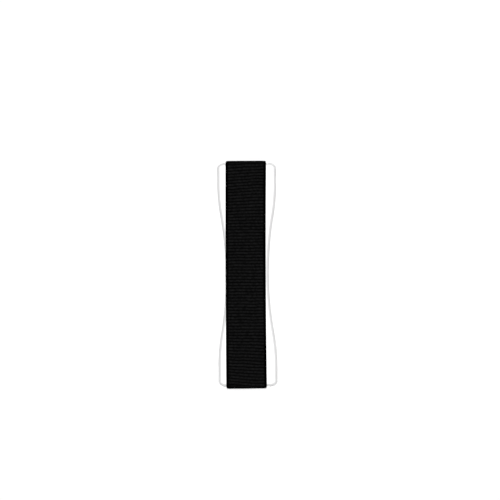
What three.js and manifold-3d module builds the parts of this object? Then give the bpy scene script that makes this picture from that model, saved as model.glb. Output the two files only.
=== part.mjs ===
// Self-adhesive finger grip for the back of a tablet.
// A slim hourglass plate is stuck to the tablet, and a ribbed elastic band runs along its front.
// The band bends round a thin lip at each end of the plate, and its tails lie glued in two blind
// pockets in the plate's back, under a foam adhesive pad whose release liner is still on.
// Millimetres. The origin is the centre of the underside, +Y runs along the band and +Z points
// away from the tablet.

import * as THREE from "three";
import { mergeVertices } from "three/addons/utils/BufferGeometryUtils.js";
import Module from "manifold-3d";

const wasm = await Module();
wasm.setup();

// Elastic band
const bandWidth = 18;
const webThickness = 0.8; // at the flat selvedges
const ribHeight = 0.3; // the cross ribs stand proud of the web
const ribPitch = 1.39;
const selvedgeWidth = 0.8;
const selvedgeRadius = 0.3;
const bandSideShift = -0.6; // the band lies a little to the left of the plate's middle
const tailLength = 22; // from the lip's nose to the tail's cut end

// Seats that the plate holds for the band
const seatSideClearance = 0.85;
const tailEndClearance = 0.8;
const noseClearance = 0.3;
const lipThickness = 1.3;
const lipSetback = 0.4; // the lips stop short of the plate's end corners
const pocketCornerRadius = 1.2;

// Hourglass plate, seen from the front
const plateLength = 100.7;
const cheekWidth = 3.35; // plate beside the seat, at each end
const waistDraw = 3.55; // how far each side draws in at mid-length
const cornerAcross = 3.3; // each end corner is a quarter of an ellipse
const cornerAlong = 2.3;
const endStraight = 7.1; // straight side between a corner and the shoulder
const shoulderLength = 14.4; // full curve between the straight side and the hollow
const frontEdgeRadius = 1.3;

// Layers under the plate, each with its edge inside the plate's outline
const padThickness = 0.8;
const padInset = 1.0;
const linerThickness = 0.15;
const linerInset = 0.5;

// Fineness of the facets
const outlineSegments = 7;
const edgeSegments = 4;
const selvedgeSegments = 3;
const bendSegments = 10;
const ribSegments = 6;

// Widths and reaches of the outline
const seatWidth = bandWidth + 2 * seatSideClearance;
const endWidth = seatWidth + 2 * cheekWidth;
const waistWidth = endWidth - 2 * waistDraw;
const shoulderReach = plateLength / 2 - cornerAlong - endStraight;
const inflectionReach = shoulderReach - shoulderLength;

// Heights of the faces that the layers share, from the tablet outwards
const padBottom = linerThickness;
const plateBack = padBottom + padThickness;
const pocketFloor = plateBack + webThickness + ribHeight;
const plateFront = pocketFloor + lipThickness;
const plateThickness = plateFront - plateBack;

// Lip at each end of the plate, which the band bends round
const lipRadius = lipThickness / 2;
const lipMiddle = pocketFloor + lipRadius;
const lipNose = plateLength / 2 - lipSetback;
const lipCentre = lipNose - lipRadius;

// Pocket that holds each tail
const tailEnd = lipNose - tailLength;
const pocketEnd = tailEnd - tailEndClearance;
const cutMargin = 2; // how far each cutter stands out of what it cuts

// A closed geometry as a solid for joining and cutting.
function solidOf(geometry) {
  const bare = geometry.clone();
  bare.deleteAttribute("normal");
  bare.deleteAttribute("uv");
  const merged = mergeVertices(bare);
  return new wasm.Manifold(
    new wasm.Mesh({
      numProp: 3,
      vertProperties: new Float32Array(merged.attributes.position.array),
      triVerts: new Uint32Array(merged.index.array),
    }),
  );
}

// A joined or cut solid as a geometry again.
function geometryOf(solid) {
  const mesh = solid.getMesh();
  const geometry = new THREE.BufferGeometry();
  const positions = new THREE.BufferAttribute(mesh.vertProperties, 3);
  geometry.setAttribute("position", positions);
  geometry.setIndex(new THREE.BufferAttribute(mesh.triVerts, 1));
  geometry.computeVertexNormals();
  return geometry;
}

// The plate's outline in plan, moved inwards by an inset. Each side is a hollow arc at the waist
// that meets a full arc on either shoulder, and the arcs keep their centres at every inset.
function hourglass(inset) {
  const waist = waistWidth / 2 - inset;
  const end = endWidth / 2 - inset;
  const tip = plateLength / 2 - inset;
  const sweep = 2 * Math.atan2(end - waist, shoulderReach);
  const hollowCentre = waistWidth / 2 + inflectionReach / Math.sin(sweep);
  const hollowRadius = hollowCentre - waist;
  const fullCentre = endWidth / 2 - (shoulderReach - inflectionReach) / Math.sin(sweep);
  const fullRadius = end - fullCentre;
  const across = cornerAcross - inset;
  const along = cornerAlong - inset;
  const half = Math.PI / 2;

  const shape = new THREE.Shape();
  shape.moveTo(end, shoulderReach);
  shape.absellipse(end - across, tip - along, across, along, 0, half, false, 0);
  shape.absellipse(across - end, tip - along, across, along, half, Math.PI, false, 0);
  shape.absarc(-fullCentre, shoulderReach, fullRadius, Math.PI, Math.PI + sweep, false);
  shape.absarc(-hollowCentre, 0, hollowRadius, sweep, -sweep, true);
  shape.absarc(-fullCentre, -shoulderReach, fullRadius, Math.PI - sweep, Math.PI, false);
  shape.absellipse(across - end, along - tip, across, along, Math.PI, 3 * half, false, 0);
  shape.absellipse(end - across, along - tip, across, along, 3 * half, 4 * half, false, 0);
  shape.absarc(fullCentre, -shoulderReach, fullRadius, 0, sweep, false);
  shape.absarc(hollowCentre, 0, hollowRadius, Math.PI + sweep, Math.PI - sweep, true);
  shape.absarc(fullCentre, shoulderReach, fullRadius, -sweep, 0, false);
  return shape;
}

// A layer of even thickness with the hourglass outline, standing on the given height.
function layer(inset, bottom, thickness) {
  const options = { depth: thickness, bevelEnabled: false, curveSegments: outlineSegments };
  return new THREE.ExtrudeGeometry(hourglass(inset), options).translate(0, 0, bottom);
}

// A profile drawn along Y and Z, extruded across the part and centred on X = 0.
function extrudeAcross(profile, width, roundedBy = 0) {
  const geometry = new THREE.ExtrudeGeometry(profile, {
    depth: width - 2 * roundedBy,
    bevelEnabled: roundedBy > 0,
    bevelThickness: roundedBy,
    bevelSize: roundedBy,
    bevelOffset: -roundedBy,
    bevelSegments: selvedgeSegments,
    curveSegments: bendSegments,
  });
  geometry.translate(0, 0, roundedBy - width / 2);
  const along = new THREE.Vector3(0, 1, 0);
  const up = new THREE.Vector3(0, 0, 1);
  const across = new THREE.Vector3(1, 0, 0);
  return geometry.applyMatrix4(new THREE.Matrix4().makeBasis(along, up, across));
}

// The plate without its seats: its front edge is rounded and its back edge is square.
function plateBlank() {
  const slab = new THREE.ExtrudeGeometry(hourglass(0), {
    depth: plateThickness - frontEdgeRadius,
    bevelThickness: frontEdgeRadius,
    bevelSize: frontEdgeRadius,
    bevelOffset: -frontEdgeRadius,
    bevelSegments: edgeSegments,
    curveSegments: outlineSegments,
  }).translate(0, 0, plateBack);
  const skim = new THREE.BoxGeometry(2 * endWidth, 2 * plateLength, 2 * frontEdgeRadius);
  skim.translate(0, 0, plateBack - frontEdgeRadius);
  return solidOf(slab).subtract(solidOf(skim));
}

// Cutter for the blind pocket that one tail lies in. It runs out through the plate's end.
function pocketCutter() {
  const side = seatWidth / 2;
  const r = pocketCornerRadius;
  const mouth = plateLength / 2 + cutMargin;
  const plan = new THREE.Shape();
  plan.moveTo(side, mouth);
  plan.lineTo(-side, mouth);
  plan.absarc(r - side, pocketEnd + r, r, Math.PI, 1.5 * Math.PI, false);
  plan.absarc(side - r, pocketEnd + r, r, 1.5 * Math.PI, 2 * Math.PI, false);
  const options = {
    depth: pocketFloor - plateBack + cutMargin,
    bevelEnabled: false,
    curveSegments: edgeSegments,
  };
  return new THREE.ExtrudeGeometry(plan, options).translate(0, 0, plateBack - cutMargin);
}

// Cutter that leaves a full round nose on the lip, across the width of the seat.
function noseCutter() {
  const beyond = plateLength / 2 + cutMargin;
  const profile = new THREE.Shape();
  profile.moveTo(lipCentre, plateFront + cutMargin);
  profile.lineTo(lipCentre, lipMiddle + lipRadius);
  profile.absarc(lipCentre, lipMiddle, lipRadius, Math.PI / 2, -Math.PI / 2, true);
  profile.lineTo(lipCentre, plateBack - cutMargin);
  profile.lineTo(beyond, plateBack - cutMargin);
  profile.lineTo(beyond, plateFront + cutMargin);
  return extrudeAcross(profile, seatWidth);
}

// The moulded plate, with a seat for the band at each end.
function basePlate() {
  let plate = plateBlank();
  for (const turn of [0, Math.PI]) {
    plate = plate.subtract(solidOf(pocketCutter().rotateZ(turn)));
    plate = plate.subtract(solidOf(noseCutter().rotateZ(turn)));
  }
  return geometryOf(plate);
}

// The band's path, from the cut end of one tail to the cut end of the other
const bendCentre = lipCentre + noseClearance;
const webRadius = lipRadius + webThickness; // outer face of the web round a lip
const tailRun = bendCentre - tailEnd;
const bendRun = Math.PI * webRadius;
const pathLength = 2 * (tailRun + bendRun + bendCentre);

// A point in Y and Z on the web's outer face, so far along the band, raised by a lift.
function bandFacePoint(distance, lift) {
  if (distance > pathLength / 2) {
    const twin = bandFacePoint(pathLength - distance, lift);
    return new THREE.Vector2(-twin.x, twin.y);
  }
  const radius = webRadius + lift;
  if (distance < tailRun) {
    return new THREE.Vector2(tailEnd + distance, lipMiddle - radius);
  }
  const angle = (distance - tailRun) / webRadius - Math.PI / 2;
  if (angle < Math.PI / 2) {
    const y = bendCentre + radius * Math.cos(angle);
    return new THREE.Vector2(y, lipMiddle + radius * Math.sin(angle));
  }
  return new THREE.Vector2(bendCentre - (distance - tailRun - bendRun), lipMiddle + radius);
}

// The plain web of the band: a strip that hooks round both lips.
function webProfile() {
  const up = Math.PI / 2;
  const outer = webRadius;
  const inner = lipRadius;
  const profile = new THREE.Shape();
  profile.moveTo(tailEnd, lipMiddle - outer);
  profile.absarc(bendCentre, lipMiddle, outer, -up, up, false);
  profile.absarc(-bendCentre, lipMiddle, outer, up, 3 * up, false);
  profile.lineTo(-tailEnd, lipMiddle - outer);
  profile.lineTo(-tailEnd, lipMiddle - inner);
  profile.absarc(-bendCentre, lipMiddle, inner, 3 * up, up, true);
  profile.absarc(bendCentre, lipMiddle, inner, up, -up, true);
  profile.lineTo(tailEnd, lipMiddle - inner);
  return profile;
}

// The cross ribs: rounded ridges with sharp grooves between them, rooted inside the web.
function ribProfile() {
  const ribs = Math.round(pathLength / ribPitch);
  const steps = ribs * ribSegments;
  const points = [];
  for (let i = 0; i <= steps; i++) {
    const lift = ribHeight * Math.abs(Math.sin((Math.PI * i) / ribSegments));
    points.push(bandFacePoint((pathLength * i) / steps, lift));
  }
  for (let i = steps; i >= 0; i -= ribSegments) {
    points.push(bandFacePoint((pathLength * i) / steps, -webThickness / 2));
  }
  return new THREE.Shape(points);
}

// The elastic band: a web with rounded selvedges, and ribs between the selvedges.
function elasticBand() {
  const web = extrudeAcross(webProfile(), bandWidth, selvedgeRadius);
  const ribs = extrudeAcross(ribProfile(), bandWidth - 2 * selvedgeWidth);
  return geometryOf(solidOf(web).add(solidOf(ribs))).translate(bandSideShift, 0, 0);
}

const whitePlastic = new THREE.MeshStandardMaterial({ color: 0xf3f3f1, roughness: 0.35 });
const blackElastic = new THREE.MeshStandardMaterial({ color: 0x0e0e0f, roughness: 0.95 });
const whiteFoam = new THREE.MeshStandardMaterial({ color: 0xe6e6e2, roughness: 0.9 });
const paleLiner = new THREE.MeshStandardMaterial({ color: 0xefe8d2, roughness: 0.5 });

const grip = new THREE.Group();

// A named piece of the grip.
function addPiece(name, geometry, material) {
  const mesh = new THREE.Mesh(geometry, material);
  mesh.name = name;
  grip.add(mesh);
}

addPiece("release_liner", layer(linerInset, 0, linerThickness), paleLiner);
addPiece("adhesive_pad", layer(padInset, padBottom, padThickness), whiteFoam);
addPiece("base_plate", basePlate(), whitePlastic);
addPiece("elastic_band", elasticBand(), blackElastic);

export default grip;
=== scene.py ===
"""Dresses the tablet finger grip: moulded plate, ribbed elastic band, foam pad and release liner.

Everything is in metres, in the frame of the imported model: +Y along the band and +Z away from the
tablet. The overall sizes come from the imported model, and the finer ones are named here.
"""

import logging
import math
from dataclasses import dataclass
from enum import Enum
from typing import Any, Sequence, Union

import bmesh
import bpy
import numpy as np
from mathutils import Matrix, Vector, noise


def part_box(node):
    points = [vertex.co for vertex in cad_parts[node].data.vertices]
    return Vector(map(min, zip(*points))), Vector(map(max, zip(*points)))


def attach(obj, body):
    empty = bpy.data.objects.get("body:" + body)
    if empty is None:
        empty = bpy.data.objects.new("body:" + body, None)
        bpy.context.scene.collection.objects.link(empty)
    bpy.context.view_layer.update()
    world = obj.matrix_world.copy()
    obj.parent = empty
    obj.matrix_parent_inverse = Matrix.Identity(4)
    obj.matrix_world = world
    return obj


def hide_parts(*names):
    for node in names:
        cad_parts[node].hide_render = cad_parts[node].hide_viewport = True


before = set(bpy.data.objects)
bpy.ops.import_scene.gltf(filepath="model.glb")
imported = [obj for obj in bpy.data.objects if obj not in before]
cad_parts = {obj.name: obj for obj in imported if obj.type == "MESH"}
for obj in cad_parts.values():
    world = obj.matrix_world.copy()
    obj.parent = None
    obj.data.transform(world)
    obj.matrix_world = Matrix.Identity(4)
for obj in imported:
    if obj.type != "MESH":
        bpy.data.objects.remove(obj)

MM = 0.001
BODY = "root"
SHARP_ANGLE = math.radians(32)
OCTAVE_SHARE = 0.6
Ring = list[tuple[float, float, float]]
Value = Union[float, "Wire"]
log = logging.getLogger("finger_grip")


class Shine(Enum):
    """How strongly a surface mirrors its lights, as the shader's specular level."""

    MOULDED = 0.5
    PAPER = 0.35
    CELLS = 0.2
    YARN = 0.005


@dataclass(frozen=True)
class Wire:
    """A shader socket that takes part in Python expressions.

    Each operator adds one Math node to the tree that the socket belongs to.
    """

    tree: "Shader"
    socket: bpy.types.NodeSocket

    def _math(self, operation: str, *values: Value) -> "Wire":
        """Adds a Math node.

        Args:
            operation: The node's operation.
            values: Its inputs in order, as wires or plain numbers.

        Returns:
            The node's result.
        """
        return self.tree.node("ShaderNodeMath", {"operation": operation}, dict(enumerate(values)))

    def __add__(self, other: Value) -> "Wire":
        """Sum."""
        return self._math("ADD", self, other)

    def __sub__(self, other: Value) -> "Wire":
        """Difference."""
        return self._math("SUBTRACT", self, other)

    def __rsub__(self, other: Value) -> "Wire":
        """Difference from a number."""
        return self._math("SUBTRACT", other, self)

    def __mul__(self, other: Value) -> "Wire":
        """Product."""
        return self._math("MULTIPLY", self, other)

    def __abs__(self) -> "Wire":
        """Size without its sign."""
        return self._math("ABSOLUTE", self)

    __radd__ = __add__
    __rmul__ = __mul__

    def sine(self) -> "Wire":
        """Sine of the value in radians."""
        return self._math("SINE", self)

    def rise(self, low: float, high: float) -> "Wire":
        """Goes smoothly from 0 at one value to 1 at another.

        Args:
            low: Value where the result leaves 0.
            high: Value where the result reaches 1.

        Returns:
            The eased share between the two.
        """
        settings = {"interpolation_type": "SMOOTHSTEP"}
        return self.tree.node("ShaderNodeMapRange", settings, {0: self, 1: low, 2: high})


class Shader:
    """The node tree of one material, built from expressions on wires."""

    def __init__(self, name: str, shine: Shine, **even: Any) -> None:
        """Starts a material with one Principled shader.

        Args:
            name: The material's name.
            shine: Its specular level.
            even: Numbers and colours that are the same all over the surface, by socket name with
                underscores for spaces.
        """
        self.material = bpy.data.materials.new(name)
        self.material.use_nodes = True
        self.nodes = self.material.node_tree.nodes
        self.surface = self.nodes["Principled BSDF"]
        self.surface.inputs["Specular IOR Level"].default_value = shine.value
        for socket, number in even.items():
            self.surface.inputs[socket.replace("_", " ")].default_value = number

    def node(
        self,
        kind: str,
        settings: dict[str, Any] | None = None,
        inputs: dict[Any, Any] | None = None,
        output: Union[int, str] = 0,
    ) -> Wire:
        """Adds one node.

        Args:
            kind: The node's type.
            settings: Its properties, which are set first.
            inputs: Values or wires for its sockets, by name or number.
            output: Which of its results to give back.

        Returns:
            That result.
        """
        made = self.nodes.new(kind)
        for key, setting in (settings or {}).items():
            setattr(made, key, setting)
        for key, value in (inputs or {}).items():
            self.feed(made.inputs[key], value)
        return Wire(self, made.outputs[output])

    def feed(self, socket: bpy.types.NodeSocket, value: Any) -> None:
        """Links a wire to a socket, or sets the socket's own value.

        Args:
            socket: The socket to fill.
            value: A wire, a number or a tuple.
        """
        if isinstance(value, Wire):
            self.material.node_tree.links.new(value.socket, socket)
        else:
            socket.default_value = value

    def place(self) -> Wire:
        """Position in the row frame, in metres."""
        return self.node("ShaderNodeTexCoord", output="Object")

    def stored(self, name: str) -> tuple[Wire, Wire, Wire]:
        """Reads three numbers that the mesh keeps for each corner.

        Args:
            name: The mesh attribute's name.

        Returns:
            The attribute's three numbers.
        """
        vector = self.node("ShaderNodeAttribute", {"attribute_name": name}, output="Vector")
        split = self.node("ShaderNodeSeparateXYZ", inputs={0: vector}).socket.node
        return tuple(Wire(self, split.outputs[axis]) for axis in range(3))

    def cloud(self, scale: float, detail: float = 2.0, stretch: Sequence[float] = (1, 1, 1)) -> Wire:
        """Fractal noise from about 0 to 1 over the piece.

        Args:
            scale: How many patches there are to the metre.
            detail: How many octaves are added.
            stretch: Factor on each axis of the position, to draw the patches out.

        Returns:
            The noise.
        """
        settings = {"operation": "MULTIPLY"}
        spread = self.node("ShaderNodeVectorMath", settings, {0: self.place(), 1: tuple(stretch)})
        inputs = {"Vector": spread, "Scale": scale, "Detail": detail, "Roughness": OCTAVE_SHARE}
        return self.node("ShaderNodeTexNoise", {"noise_dimensions": "3D"}, inputs)

    def blend(self, share: Value, low: Sequence[float], high: Sequence[float]) -> Wire:
        """Mixes two colours.

        Args:
            share: 0 for the first colour and 1 for the second.
            low: First colour, linear red, green and blue.
            high: Second colour.

        Returns:
            The mixed colour.
        """
        settings = {"data_type": "RGBA", "clamp_factor": True}
        inputs = {0: share, 6: (*low, 1.0), 7: (*high, 1.0)}
        return self.node("ShaderNodeMix", settings, inputs, output=2)

    def colour(self, value: Wire) -> None:
        """Feeds Base Color."""
        self.feed(self.surface.inputs["Base Color"], value)

    def roughness(self, value: Wire) -> None:
        """Feeds Roughness."""
        self.feed(self.surface.inputs["Roughness"], value)

    def relief(self, height: Wire, depth: float) -> None:
        """Adds a fine relief through a Bump node.

        Args:
            height: The relief, from 0 to 1.
            depth: How deep it is, in metres.
        """
        inputs = {"Strength": 1.0, "Distance": depth, "Height": height}
        bump = self.node("ShaderNodeBump", inputs=inputs, output="Normal")
        self.feed(self.surface.inputs["Normal"], bump)


@dataclass(frozen=True)
class MouldedPlastic:
    """White moulded plastic with a fine satin mould finish and faint flow marks."""

    light: tuple[float, float, float] = (0.80, 0.80, 0.80)
    dark: tuple[float, float, float] = (0.785, 0.785, 0.785)
    refraction: float = 1.49
    flow_marks: float = 60.0
    flow_draw: tuple[float, float, float] = (1.0, 0.3, 1.0)
    flow_edges: tuple[float, float] = (0.3, 0.7)
    grain: float = 9000.0
    grain_detail: float = 1.0
    grain_depth: float = 0.004 * MM
    smooth: float = 0.30
    rough: float = 0.40

    def material(self) -> bpy.types.Material:
        """Builds the material."""
        shader = Shader("white_moulded_plastic", Shine.MOULDED, IOR=self.refraction)
        flow = shader.cloud(self.flow_marks, stretch=self.flow_draw)
        shader.colour(shader.blend(flow.rise(*self.flow_edges), self.dark, self.light))
        grain = shader.cloud(self.grain, detail=self.grain_detail)
        shader.roughness(self.smooth + grain * (self.rough - self.smooth))
        shader.relief(grain, self.grain_depth)
        return shader.material


@dataclass(frozen=True)
class RibbedElastic:
    """Black woven elastic: yarn bundles over cross ribs, with dark selvedges.

    The mesh keeps in its attribute how far each corner lies along the band, how far across it,
    and how high it stands on its rib, which is 0 in a groove and 1 on a crest, darkened towards
    the selvedges and by a painted shade round the lips. The colour paints light on the crests and
    shade in the grooves and between the yarns.
    """

    # The crest colour is painted light on the tops of the ribs; the groove colour is painted shade in
    # the grooves and round the lips, and is also the colour of the selvedges.
    crest: tuple[float, float, float] = (0.0152, 0.0152, 0.0154)
    groove: tuple[float, float, float] = (0.0004, 0.0004, 0.0004)
    # Share of the painted crest light left in the dimmest patches.
    dimmest_crest_light: float = 0.28
    sheen: float = 0.005
    sheen_roughness: float = 0.4
    yarn_pitch: float = 0.21 * MM
    yarn_share: float = 0.6
    yarn_depth: float = 0.05 * MM
    ply_pitch: float = 0.17 * MM
    ply_lean: float = 0.6
    ply_share: float = 0.2
    fuzz: float = 3500.0
    fuzz_detail: float = 3.0
    # Share of the colour kept between the yarns, where painted shade darkens it.
    painted_gap_light: float = 0.45
    patches: float = 1500.0
    patch_detail: float = 4.0
    patch_edges: tuple[float, float] = (0.33, 0.67)
    crest_edges: tuple[float, float] = (0.0, 0.95)
    smooth: float = 0.72
    rough: float = 0.95

    def material(self) -> bpy.types.Material:
        """Builds the material."""
        sheen = {"Sheen_Weight": self.sheen, "Sheen_Roughness": self.sheen_roughness}
        shader = Shader("black_ribbed_elastic", Shine.YARN, **sheen)
        along, across, height = shader.stored("weave_and_painted_shade")
        thread = self.thread(shader, along, across)
        patch = shader.cloud(self.patches, detail=self.patch_detail).rise(*self.patch_edges)
        # Painted light on the crests and painted shade in the grooves, following the height on the rib,
        # with the painted light dimmed at random in patches.
        lit = height.rise(*self.crest_edges) * (self.dimmest_crest_light + (1 - self.dimmest_crest_light) * patch)
        # Painted shade between the yarns, where the thread relief is low.
        seen = lit * (self.painted_gap_light + (1 - self.painted_gap_light) * thread)
        shader.colour(shader.blend(seen, self.groove, self.crest))
        shader.roughness(self.rough - (self.rough - self.smooth) * thread * height)
        shader.relief(thread, self.yarn_depth)
        return shader.material

    def thread(self, shader: Shader, along: Wire, across: Wire) -> Wire:
        """The relief of the yarns: bundles side by side, the twist of their plies, and fuzz.

        Args:
            shader: The material's tree.
            along: Distance along the band.
            across: Distance across the band.

        Returns:
            The relief, from about 0 between the yarns to 1 on top of one.
        """
        turn = 2 * math.pi
        yarn = abs((across * (math.pi / self.yarn_pitch)).sine())
        lean = along * (turn / self.ply_pitch) + across * (turn * self.ply_lean / self.ply_pitch)
        ply = 0.5 + 0.5 * lean.sine()
        fuzz = shader.cloud(self.fuzz, detail=self.fuzz_detail)
        fuzz_share = 1 - self.yarn_share - self.ply_share
        return yarn * self.yarn_share + ply * self.ply_share + fuzz * fuzz_share


@dataclass(frozen=True)
class AdhesiveFoam:
    """White closed-cell foam with small open cells along its cut edge."""

    skin: tuple[float, float, float] = (0.80, 0.80, 0.78)
    # The cell colour is painted shade in the hollows of the open cells.
    shaded_cell: tuple[float, float, float] = (0.60, 0.60, 0.58)
    cell_size: float = 0.12 * MM
    cell_depth: float = 0.05 * MM
    wall_edges: tuple[float, float] = (0.15, 0.6)
    roughness: float = 0.9

    def material(self) -> bpy.types.Material:
        """Builds the material."""
        shader = Shader("white_adhesive_foam", Shine.CELLS, Roughness=self.roughness)
        inputs = {"Vector": shader.place(), "Scale": 1 / self.cell_size}
        cells = shader.node("ShaderNodeTexVoronoi", {"feature": "F1"}, inputs)
        wall = cells.rise(*self.wall_edges)
        # Painted shade: the colour darkens towards the middle of each cell.
        shader.colour(shader.blend(wall, self.shaded_cell, self.skin))
        shader.relief(wall, self.cell_depth)
        return shader.material


@dataclass(frozen=True)
class CoatedPaper:
    """Cream release paper: faint fibres under a thin silicone coat."""

    light: tuple[float, float, float] = (0.80, 0.74, 0.58)
    dark: tuple[float, float, float] = (0.73, 0.67, 0.50)
    fibres: float = 900.0
    fibre_detail: float = 4.0
    fibre_draw: tuple[float, float, float] = (1.0, 0.25, 1.0)
    fibre_share: float = 0.5
    clouds: float = 90.0
    fibre_depth: float = 0.01 * MM
    smooth: float = 0.38
    rough: float = 0.55

    def material(self) -> bpy.types.Material:
        """Builds the material."""
        shader = Shader("cream_release_paper", Shine.PAPER)
        fibre = shader.cloud(self.fibres, detail=self.fibre_detail, stretch=self.fibre_draw)
        mottle = self.fibre_share * fibre + (1 - self.fibre_share) * shader.cloud(self.clouds)
        shader.colour(shader.blend(mottle, self.dark, self.light))
        shader.roughness(self.smooth + fibre * (self.rough - self.smooth))
        shader.relief(fibre, self.fibre_depth)
        return shader.material


@dataclass(frozen=True)
class Sweep:
    """The pale card that the grip lies on for its picture."""

    colour: tuple[float, float, float] = (0.95, 0.95, 0.95)
    grain: float = 400.0
    grain_shade: float = 0.99
    roughness: float = 0.9

    def material(self) -> bpy.types.Material:
        """Builds the material."""
        shader = Shader("pale_floor", Shine.CELLS, Roughness=self.roughness)
        darker = tuple(self.grain_shade * part for part in self.colour)
        shader.colour(shader.blend(shader.cloud(self.grain), darker, self.colour))
        return shader.material


def add_piece(name: str, mesh: bpy.types.Mesh, material: bpy.types.Material) -> bpy.types.Object:
    """Puts a mesh into the scene as one piece.

    Args:
        name: The piece's name.
        mesh: Its shape, in the row frame.
        material: Its finish.

    Returns:
        The new object.
    """
    piece = bpy.data.objects.new(name, mesh)
    bpy.context.scene.collection.objects.link(piece)
    mesh.materials.clear()
    mesh.materials.append(material)
    return piece


def seat(piece: bpy.types.Object, node: str) -> None:
    """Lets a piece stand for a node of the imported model.

    Args:
        piece: The finished piece.
        node: The node that it replaces.
    """
    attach(piece, BODY)
    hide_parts(node)
    log.info("%s stands for %s with %d faces", piece.name, node, len(piece.data.polygons))


def loft(rings: Sequence[Ring], name: str) -> bpy.types.Mesh:
    """Joins rings of equal length into one closed mesh, capped at both ends.

    Args:
        rings: The rings from the lowest to the highest, each anticlockwise seen from above.
        name: The mesh's name.

    Returns:
        The mesh.
    """
    count = len(rings[0])
    corners = [corner for ring in rings for corner in ring]
    faces = []
    for level in range(len(rings) - 1):
        low, high = level * count, (level + 1) * count
        for i in range(count):
            j = (i + 1) % count
            faces.append((low + i, low + j, high + j, high + i))
    faces.append(tuple(reversed(range(count))))
    faces.append(tuple(range((len(rings) - 1) * count, len(rings) * count)))
    mesh = bpy.data.meshes.new(name)
    mesh.from_pydata(corners, [], faces)
    mesh.validate()
    return mesh


def flatten(piece: bpy.types.Object) -> None:
    """Turns a piece's modifiers into plain mesh.

    Args:
        piece: The object to settle.
    """
    graph = bpy.context.evaluated_depsgraph_get()
    settled = bpy.data.meshes.new_from_object(piece.evaluated_get(graph))
    piece.modifiers.clear()
    piece.data = settled


@dataclass(frozen=True)
class Hourglass:
    """Outline of the plate in plan, and of each layer under it at an inset.

    Each side is a hollow arc at the waist that meets a full arc on either shoulder, and each end
    corner is a quarter of an ellipse.
    """

    length: float
    end_width: float
    waist_draw: float = 3.55 * MM
    corner_across: float = 3.3 * MM
    corner_along: float = 2.3 * MM
    end_straight: float = 7.1 * MM
    shoulder_length: float = 14.4 * MM
    hollow_steps: int = 18
    shoulder_steps: int = 12
    straight_steps: int = 4
    corner_steps: int = 14
    end_steps: int = 6

    def ring(self, inset: float, height: float) -> Ring:
        """The whole outline, anticlockwise seen from above.

        Args:
            inset: How far the outline is moved inwards.
            height: The height of its points.

        Returns:
            The points.
        """
        quarter = self.quarter(inset)
        up_left = [(-x, y) for x, y in reversed(quarter)]
        down_left = [(-x, -y) for x, y in quarter[1:]]
        down_right = [(x, -y) for x, y in reversed(quarter[1:])]
        return [(x, y, height) for x, y in quarter + up_left + down_left + down_right]

    def quarter(self, inset: float) -> list[tuple[float, float]]:
        """One quarter of the outline, from the waist up to the end line.

        Args:
            inset: How far the outline is moved inwards.

        Returns:
            The points in plan.
        """
        end = self.end_width / 2 - inset
        waist = end - self.waist_draw
        tip = self.length / 2 - inset
        shoulder = self.length / 2 - self.corner_along - self.end_straight
        turning = shoulder - self.shoulder_length
        sweep = 2 * math.atan2(self.waist_draw, shoulder)
        hollow = self.end_width / 2 - self.waist_draw + turning / math.sin(sweep)
        full = self.end_width / 2 - self.shoulder_length / math.sin(sweep)
        across, along = self.corner_across - inset, self.corner_along - inset
        points = []
        for i in range(self.hollow_steps):
            angle = sweep * i / self.hollow_steps
            radius = hollow - waist
            points.append((hollow - radius * math.cos(angle), radius * math.sin(angle)))
        for i in range(self.shoulder_steps):
            angle = sweep * (1 - i / self.shoulder_steps)
            radius = end - full
            points.append((full + radius * math.cos(angle), shoulder - radius * math.sin(angle)))
        for i in range(self.straight_steps):
            points.append((end, shoulder + self.end_straight * i / self.straight_steps))
        for i in range(self.corner_steps):
            angle = math.pi / 2 * i / self.corner_steps
            x = end - across + across * math.cos(angle)
            points.append((x, tip - along + along * math.sin(angle)))
        for i in range(self.end_steps):
            points.append(((end - across) * (1 - i / self.end_steps), tip))
        return points


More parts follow.
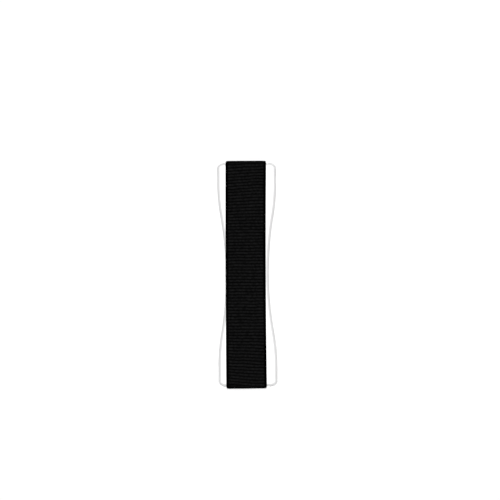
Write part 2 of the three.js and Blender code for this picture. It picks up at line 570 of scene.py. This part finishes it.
class BasePlate:
    """The moulded hourglass plate with a full round lip and a blind pocket at each end."""

    @dataclass(frozen=True)
    class Sizes:
        """The plate's finer sizes, in metres."""

        front_radius: float = 1.3 * MM
        front_steps: int = 12
        back_break: float = 0.15 * MM
        seat_side_clearance: float = 0.85 * MM
        pocket_depth: float = 1.1 * MM
        tail_length: float = 22 * MM
        tail_end_clearance: float = 0.8 * MM
        lip_setback: float = 0.4 * MM
        pocket_corner: float = 1.2 * MM
        lip_steps: int = 16
        margin: float = 2 * MM

    def __init__(self, outline: Hourglass, band_width: float, finish: MouldedPlastic) -> None:
        """Takes the plate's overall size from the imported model.

        Args:
            outline: The plate's outline in plan.
            band_width: Width of the band that its seats hold.
            finish: The plate's material.
        """
        self.outline = outline
        self.finish = finish
        self.sizes = self.Sizes()
        low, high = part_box("base_plate")
        self.back, self.front = low.z, high.z
        self.seat_width = band_width + 2 * self.sizes.seat_side_clearance
        self.pocket_floor = self.back + self.sizes.pocket_depth
        self.lip_nose = high.y - self.sizes.lip_setback

    def blank(self) -> bpy.types.Mesh:
        """The plate before its seats are cut: rounded in front and barely broken at the back."""
        sizes = self.sizes
        rings = [self.outline.ring(sizes.back_break, self.back)]
        rings.append(self.outline.ring(0.0, self.back + sizes.back_break))
        for i in range(sizes.front_steps + 1):
            angle = math.pi / 2 * i / sizes.front_steps
            inset = sizes.front_radius * (1 - math.cos(angle))
            height = self.front - sizes.front_radius * (1 - math.sin(angle))
            rings.append(self.outline.ring(inset, height))
        return loft(rings, "base_plate_shape")

    def pocket(self, end: int) -> bpy.types.Mesh:
        """Cutter for one tail's pocket.

        Args:
            end: 1 for the +Y end and -1 for the other.

        Returns:
            The cutter's mesh.
        """
        sizes = self.sizes
        side, corner = self.seat_width / 2, sizes.pocket_corner
        mouth = self.outline.length / 2 + sizes.margin
        inner = self.lip_nose - sizes.tail_length - sizes.tail_end_clearance
        plan = [(side, mouth), (-side, mouth)]
        for i in range(sizes.lip_steps // 2 + 1):
            angle = math.pi / 2 * i / (sizes.lip_steps // 2)
            plan.append((corner * (1 - math.cos(angle)) - side, inner + corner * (1 - math.sin(angle))))
        plan += [(-x, y) for x, y in reversed(plan[2:])]
        plan = [(x * end, y * end) for x, y in plan]
        heights = (self.back - sizes.margin, self.pocket_floor)
        return loft([[(x, y, z) for x, y in plan] for z in heights], "pocket_cutter")

    def nose(self, end: int) -> bpy.types.Mesh:
        """Cutter that leaves one lip with a full round nose between the cheeks.

        Args:
            end: 1 for the +Y end and -1 for the other.

        Returns:
            The cutter's mesh.
        """
        sizes = self.sizes
        radius = (self.front - self.pocket_floor) / 2
        middle = self.pocket_floor + radius
        centre = self.lip_nose - radius
        beyond = self.outline.length / 2 + sizes.margin
        profile = [(beyond, self.front + sizes.margin), (centre, self.front + sizes.margin)]
        for i in range(sizes.lip_steps + 1):
            angle = math.pi * (0.5 - i / sizes.lip_steps)
            profile.append((centre + radius * math.cos(angle), middle + radius * math.sin(angle)))
        profile += [(centre, self.back - sizes.margin), (beyond, self.back - sizes.margin)]
        side = self.seat_width / 2
        walls = [[(x, y * end, z) for y, z in profile] for x in (-side * end, side * end)]
        return loft(walls, "nose_cutter")

    def build(self) -> bpy.types.Object:
        """Makes the finished plate.

        Returns:
            The plate's object.
        """
        plate = add_piece("moulded_plate", self.blank(), self.finish.material())
        for end in (1, -1):
            for shape in (self.pocket(end), self.nose(end)):
                cutter = bpy.data.objects.new("cutter", shape)
                bpy.context.scene.collection.objects.link(cutter)
                cut = plate.modifiers.new("cut", "BOOLEAN")
                cut.operation, cut.solver, cut.object = "DIFFERENCE", "EXACT", cutter
                flatten(plate)
                bpy.data.objects.remove(cutter)
        shade(plate)
        seat(plate, "base_plate")
        return plate


def shade(piece: bpy.types.Object) -> None:
    """Shades a piece smooth, apart from its sharp edges, with its flat faces kept flat.

    Args:
        piece: The piece to shade.
    """
    mesh = piece.data
    mesh.shade_smooth()
    mesh.set_sharp_from_angle(angle=SHARP_ANGLE)
    weighted = piece.modifiers.new("weighted", "WEIGHTED_NORMAL")
    weighted.keep_sharp = True
    flatten(piece)


class ElasticBand:
    """The ribbed elastic band: one strip that lies along the front and hooks round both lips.

    Its corners lie in rows, one for each step along the band, and each row holds the corners of
    the cross-section. The wave rises on each rib and the column on each bead across it.
    """

    @dataclass(frozen=True)
    class Sizes:
        """The band's finer sizes in metres, and shares as plain numbers."""

        web: float = 0.8 * MM
        rib_height: float = 0.3 * MM
        rib_pitch: float = 1.39 * MM
        rib_end_share: float = 0.5
        crest_roundness: float = 0.8
        selvedge: float = 0.8 * MM
        edge_radius: float = 0.3 * MM
        lip_radius: float = 0.65 * MM
        nose_clearance: float = 0.3 * MM
        column_pitch: float = 0.62 * MM
        column_depth: float = 0.12 * MM
        # Painted shade: how much the colour darkens between the beads across the band.
        column_shade: float = 0.4
        sway: float = 0.5 * MM
        sway_patch: float = 7.0 * MM
        sway_draw: float = 0.6
        sway_layer: float = 3.1
        sway_hold: int = 8
        middle_sway: float = 0.3
        end_lean: float = 0.055
        lean_start: float = 0.15
        lean_growth: float = 0.45
        middle_shift: float = -0.11 * MM
        slant: float = 0.18 * MM
        bow: float = 0.21 * MM
        widening: float = 0.05 * MM
        end_widening: float = 0.10 * MM
        corner_draw: float = 0.32 * MM
        fold_rise: float = 0.22 * MM
        fold_filling: float = 0.7
        # Painted shade round the lips, where the band turns away from the light, and how far it
        # spreads.
        fold_shade: float = 0.8
        fold_shade_spread: float = 0.4
        # The height number in a groove, which keeps a little of the painted crest light there.
        groove_height: float = 0.11
        # Width over which the colour of the rib face darkens towards the selvedges.
        dark_edge: float = 0.6 * MM
        rib_steps: int = 8
        column_steps: int = 3
        edge_steps: int = 3
        back_steps: int = 8

    def __init__(self, tail_length: float, lip_nose: float, finish: RibbedElastic) -> None:
        """Takes the band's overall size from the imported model, and lays out its grid.

        Args:
            tail_length: Length of a tail behind the lip's nose.
            lip_nose: How far the lip's nose is from the plate's middle.
            finish: The band's material.
        """
        self.finish = finish
        self.sizes = self.Sizes()
        sizes = self.sizes
        low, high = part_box("elastic_band")
        self.width = high.x - low.x
        self.shift = (high.x + low.x) / 2
        self.inner = self.width / 2 - sizes.selvedge
        self.columns = round(2 * self.inner / sizes.column_pitch)
        self.middle = high.z - sizes.rib_height - sizes.web - sizes.lip_radius
        self.bend = lip_nose - sizes.lip_radius + sizes.nose_clearance
        self.radius = sizes.lip_radius + sizes.web
        self.tail = self.bend - (lip_nose - tail_length)
        self.arc = math.pi * self.radius
        self.length = 2 * (self.tail + self.arc + self.bend)
        self.across, self.depth, self.rises = self.section()
        steps = round(self.length / sizes.rib_pitch) * sizes.rib_steps
        share = np.arange(steps + 1)[:, None] / sizes.rib_steps
        turn = math.pi * (self.across + self.inner) / (2 * self.inner)
        self.run = np.linspace(0, self.length, steps + 1)[:, None]
        self.wave = np.abs(np.sin(math.pi * share))
        self.column = np.abs(np.sin(turn * self.columns))

    def point(self, run: np.ndarray, lift: np.ndarray) -> tuple[np.ndarray, np.ndarray]:
        """Places points of the band in its own side view.

        Args:
            run: Distance along the web's outer face, from one tail's cut end.
            lift: Height above that face.

        Returns:
            The points' Y and Z.
        """
        half = self.length / 2
        far = run > half
        along = np.where(far, self.length - run, run)
        radius = self.radius + lift
        angle = np.clip((along - self.tail) / self.radius, 0, math.pi) - math.pi / 2
        before = np.minimum(along - self.tail, 0)
        after = np.maximum(along - self.tail - self.arc, 0)
        y = self.bend + before + radius * np.cos(angle) - after
        return np.where(far, -y, y), self.middle + radius * np.sin(angle)

    def section(self) -> tuple[np.ndarray, np.ndarray, np.ndarray]:
        """The band's cross-section as a closed loop of corners.

        Returns:
            How far across each corner lies, its depth under the rib's foot, and whether it rises
            with the ribs, as 1 or 0.
        """
        sizes = self.sizes
        face = np.linspace(-self.inner, self.inner, self.columns * sizes.column_steps + 1)
        edge = []
        for i in range(sizes.edge_steps + 1):
            angle = math.pi / 2 * i / sizes.edge_steps
            x = self.width / 2 - sizes.edge_radius * (1 - math.sin(angle))
            edge.append((x, sizes.edge_radius * (1 - math.cos(angle))))
        right = edge + [(x, sizes.web - depth) for x, depth in reversed(edge)]
        back = np.linspace(self.inner, -self.inner, sizes.back_steps + 1)
        left = [(-x, depth) for x, depth in reversed(right)]
        loop = [(x, 0.0, 1.0) for x in face]
        loop += [(x, depth, 0.0) for x, depth in right]
        loop += [(x, sizes.web, 0.0) for x in back]
        loop += [(x, depth, 0.0) for x, depth in left]
        across, depth, rises = (np.array(part) for part in zip(*loop))
        return across, depth, rises

    def build(self) -> bpy.types.Object:
        """Makes the finished band.

        Returns:
            The band's object.
        """
        fold = self.fold()
        moved = self.moved()
        y, z = self.point(moved, self.lift(fold))
        mesh = self.strip(np.stack([self.sides(fold), y, z], axis=-1))
        stored = mesh.attributes.new("weave_and_painted_shade", "FLOAT_VECTOR", "POINT")
        stored.data.foreach_set("vector", self.weave_and_painted_shade(moved, fold).astype(np.float32).ravel())
        band = add_piece("ribbed_band", mesh, self.finish.material())
        mesh.shade_smooth()
        seat(band, "elastic_band")
        return band

    def fold(self) -> np.ndarray:
        """How far round a lip each row lies, where the ribs crowd and the selvedges stand out.

        Returns:
            The share, from 0 on the flat to 1 at the outermost point of a bend.
        """
        along = np.minimum(self.run, self.length - self.run)
        return np.sin(math.pi * np.clip((along - self.tail) / self.arc, 0, 1))

    def lift(self, fold: np.ndarray) -> np.ndarray:
        """How high each corner stands above the web's outer face.

        Args:
            fold: How far round a lip each row lies.

        Returns:
            The heights.
        """
        sizes = self.sizes
        rib_end = sizes.rib_end_share * sizes.column_pitch
        shoulder = self.rises * np.sqrt(np.clip((self.inner - np.abs(self.across)) / rib_end, 0, 1))
        bead = 1 - sizes.column_depth / sizes.rib_height * (1 - self.column)
        crest = self.wave ** sizes.crest_roundness * bead
        crest = crest + sizes.fold_filling * fold * (1 - crest)
        selvedge = (1 - shoulder) * (1 - self.depth / sizes.web)
        return sizes.rib_height * crest * shoulder - self.depth + sizes.fold_rise * fold * selvedge

    def moved(self) -> np.ndarray:
        """How far along the band each corner lies once the ribs lean and sway.

        The ribs lean more towards both bends, and the cut ends stay straight.

        Returns:
            The distances along the band.
        """
        sizes = self.sizes
        half = self.length / 2
        reach = (self.run - half) / half
        near = np.clip((np.abs(reach) - sizes.lean_start) / sizes.lean_growth, 0, 1)
        slope = sizes.end_lean * np.sign(reach) * near ** 2 * (3 - 2 * near)
        lean = slope * (self.across + self.width / 2) * self.rises
        loose = sizes.middle_sway + (1 - sizes.middle_sway) * np.abs(reach)
        slide = self.sway() * loose * (1 - reach ** sizes.sway_hold)
        moved = np.clip(self.run + lean + slide, 0, self.length)
        moved[0], moved[-1] = 0, self.length
        return moved

    def sway(self) -> np.ndarray:
        """How far each rib strays from a straight line, from a smooth noise.

        Returns:
            The stray of each corner.
        """
        sizes = self.sizes
        wide = self.across / sizes.sway_patch
        long = self.run[:, 0] / sizes.sway_patch * sizes.sway_draw
        rows = [[noise.noise(Vector((x, s, sizes.sway_layer))) for x in wide] for s in long]
        return sizes.sway * np.array(rows)

    def sides(self, fold: np.ndarray) -> np.ndarray:
        """Where each corner lies across the grip.

        The band slants a little, bows to the left in the middle, widens towards both bends, and
        narrows at its corners.

        Args:
            fold: How far round a lip each row lies.

        Returns:
            The corners' X.
        """
        sizes = self.sizes
        y, _ = self.point(self.run, np.zeros_like(self.run))
        place = np.clip(y / self.bend, -1, 1)
        stray = sizes.middle_shift + sizes.slant * place + sizes.bow * place ** 2
        spread = sizes.widening + sizes.end_widening * place ** 2
        drawn = sizes.corner_draw * (1 - np.sqrt(1 - fold ** 2))
        wider = 1 + (spread - drawn) / (self.width / 2)
        return self.across * wider + self.shift + stray

    def weave_and_painted_shade(self, moved: np.ndarray, fold: np.ndarray) -> np.ndarray:
        """The three numbers that the finish reads at each corner.

        Args:
            moved: How far along the band each corner lies.
            fold: How far round a lip each row lies.

        Returns:
            Distance along, distance across, and height from 0 in a groove to 1 on a crest, darkened
            towards the selvedges and by a painted shade round the lips.
        """
        sizes = self.sizes
        # The colour darkens towards the selvedges.
        inside = self.rises * np.clip((self.inner - np.abs(self.across)) / sizes.dark_edge, 0, 1)
        # Painted shade round the lips, where the band turns away from the light.
        inside = inside * (1 - sizes.fold_shade * fold ** sizes.fold_shade_spread)
        # Painted shade between the beads.
        bead = self.wave * (1 - sizes.column_shade * (1 - self.column))
        height = (sizes.groove_height + (1 - sizes.groove_height) * bead) * inside
        return np.stack([moved, np.broadcast_to(self.across, moved.shape), height], axis=-1)

    def strip(self, corners: np.ndarray) -> bpy.types.Mesh:
        """Joins the band's sections into one closed mesh.

        Args:
            corners: The corners, by section and by place in the section.

        Returns:
            The mesh.
        """
        rows, count, _ = corners.shape
        index = np.arange(rows * count).reshape(rows, count)
        turned = np.roll(index, -1, axis=1)
        quads = np.stack([index[:-1], turned[:-1], turned[1:], index[1:]], axis=-1).reshape(-1, 4)
        caps = [tuple(reversed(index[0].tolist())), tuple(index[-1].tolist())]
        mesh = bpy.data.meshes.new("ribbed_band_shape")
        mesh.from_pydata(corners.reshape(-1, 3).tolist(), [], quads.tolist() + caps)
        made = bmesh.new()
        made.from_mesh(mesh)
        bmesh.ops.recalc_face_normals(made, faces=made.faces)
        made.to_mesh(mesh)
        made.free()
        return mesh


@dataclass(frozen=True)
class Layer:
    """A thin layer under the plate with the same outline at an inset and a softened edge.

    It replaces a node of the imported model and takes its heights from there.
    """

    node: str
    name: str
    slot: str
    inset: float
    edge_draw: float
    edge_steps: int = 4

    def build(self, outline: Hourglass, material: bpy.types.Material) -> bpy.types.Object:
        """Makes the layer.

        Args:
            outline: The plate's outline.
            material: The layer's finish.

        Returns:
            The layer's object.
        """
        low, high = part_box(self.node)
        rings = []
        for i in range(self.edge_steps + 1):
            share = i / self.edge_steps
            inset = self.inset + self.edge_draw * (2 * share - 1) ** 2
            rings.append(outline.ring(inset, low.z + (high.z - low.z) * share))
        piece = add_piece(self.name, loft(rings, self.name + "_shape"), material)
        shade(piece)
        seat(piece, self.node)
        return piece


FOAM_PAD = Layer("adhesive_pad", "foam_pad", "white_foam", inset=1.0 * MM, edge_draw=0.06 * MM)
LINER = Layer("release_liner", "liner_sheet", "liner_paper", inset=0.5 * MM, edge_draw=0.01 * MM)


class Studio:
    """Floor, soft lights and camera of a plain product picture taken straight from above."""

    @dataclass(frozen=True)
    class Sizes:
        """The picture's framing and its lights, in metres and degrees."""

        picture_pixels: float = 500.0
        pixels_per_metre: float = 2220.0
        centre_pixel: tuple[float, float] = (247.3, 274.65)
        roll: float = -0.42
        camera_height: float = 1.4
        sensor: float = 36.0
        floor_side: float = 40.0
        key_spread: float = 15.0
        key_lean: float = 4.0
        key_strength: float = 3.2
        sky: float = 0.07

    def __init__(self) -> None:
        """Keeps the sizes."""
        self.sizes = self.Sizes()

    def floor(self) -> None:
        """Lays the pale floor that the grip rests on."""
        half = self.sizes.floor_side / 2
        corners = [(-half, -half, 0), (half, -half, 0), (half, half, 0), (-half, half, 0)]
        mesh = bpy.data.meshes.new("floor_shape")
        mesh.from_pydata(corners, [], [(0, 1, 2, 3)])
        add_piece("floor", mesh, Sweep().material())

    def lights(self) -> None:
        """Sets one far, soft light almost overhead, and fills the shade a little from all sides."""
        sizes = self.sizes
        lamp = bpy.data.lights.new("key", "SUN")
        lamp.angle, lamp.energy = math.radians(sizes.key_spread), sizes.key_strength
        key = bpy.data.objects.new("key", lamp)
        key.rotation_euler = (-math.radians(sizes.key_lean), 0, 0)
        bpy.context.scene.collection.objects.link(key)
        world = bpy.data.worlds.new("soft_sky")
        world.use_nodes = True
        sky = world.node_tree.nodes["Background"]
        sky.inputs["Color"].default_value = (1, 1, 1, 1)
        sky.inputs["Strength"].default_value = sizes.sky
        bpy.context.scene.world = world

    def camera(self) -> None:
        """Looks straight down with a long lens, framed as in the photograph."""
        sizes = self.sizes
        width = sizes.picture_pixels / sizes.pixels_per_metre
        aside = (sizes.picture_pixels / 2 - sizes.centre_pixel[0]) / sizes.pixels_per_metre
        above = (sizes.centre_pixel[1] - sizes.picture_pixels / 2) / sizes.pixels_per_metre
        turn = math.radians(sizes.roll)
        x = aside * math.cos(turn) - above * math.sin(turn)
        y = aside * math.sin(turn) + above * math.cos(turn)
        lens = bpy.data.cameras.new("camera")
        lens.type, lens.sensor_width = "PERSP", sizes.sensor
        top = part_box("base_plate")[1].z
        lens.lens = sizes.sensor * (sizes.camera_height - top) / width
        camera = bpy.data.objects.new("camera", lens)
        camera.location = (x, y, sizes.camera_height)
        camera.rotation_euler = (0, 0, turn)
        bpy.context.scene.collection.objects.link(camera)
        bpy.context.scene.camera = camera
        bpy.context.scene.view_settings.view_transform = "Standard"


def main() -> None:
    """Builds the grip and its studio."""
    logging.basicConfig(level=logging.INFO, format="%(name)s: %(message)s")
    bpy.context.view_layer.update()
    low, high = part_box("base_plate")
    outline = Hourglass(length=high.y - low.y, end_width=high.x - low.x)
    band_low, band_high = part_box("elastic_band")
    studio = Studio()
    studio.camera()
    studio.lights()
    studio.floor()
    plate = BasePlate(outline, band_high.x - band_low.x, MouldedPlastic())
    plate.build()
    ElasticBand(plate.sizes.tail_length, plate.lip_nose, RibbedElastic()).build()
    FOAM_PAD.build(outline, AdhesiveFoam().material())
    LINER.build(outline, CoatedPaper().material())


if __name__ == "__main__":
    main()
